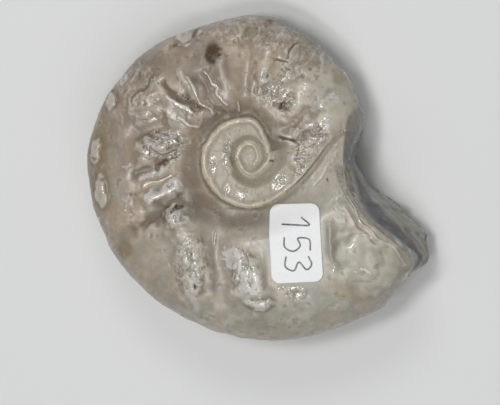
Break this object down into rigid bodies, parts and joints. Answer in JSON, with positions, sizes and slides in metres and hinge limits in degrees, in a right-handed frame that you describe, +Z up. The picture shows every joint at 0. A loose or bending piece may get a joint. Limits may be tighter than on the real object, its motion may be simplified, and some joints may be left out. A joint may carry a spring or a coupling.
{
  "type": "ceratites ammonite fossil",
  "caption": "Coiled shell of a Triassic ammonite as a solid stone cast, lying on its flank, with a small paper label on the side that faces up.",
  "frame": {"origin": "middle of the box's underside, on the surface that the fossil lies on", "axes": "+Z up out of the pictured flank, close to the coil axis; +X towards the picture's right, along the longest extent; +Y towards the picture's top"},
  "size_m": [0.079, 0.075, 0.0279],
  "materials": {
    "stone": "grey-beige limestone with a wet-looking varnish, browner in the hollows and paler on the worn ribs",
    "paper": "matt white paper with pen strokes"
  },
  "bodies": {
    "root": {"ammonite": "stone", "number_label": "paper"}
  },
  "joints": []
}
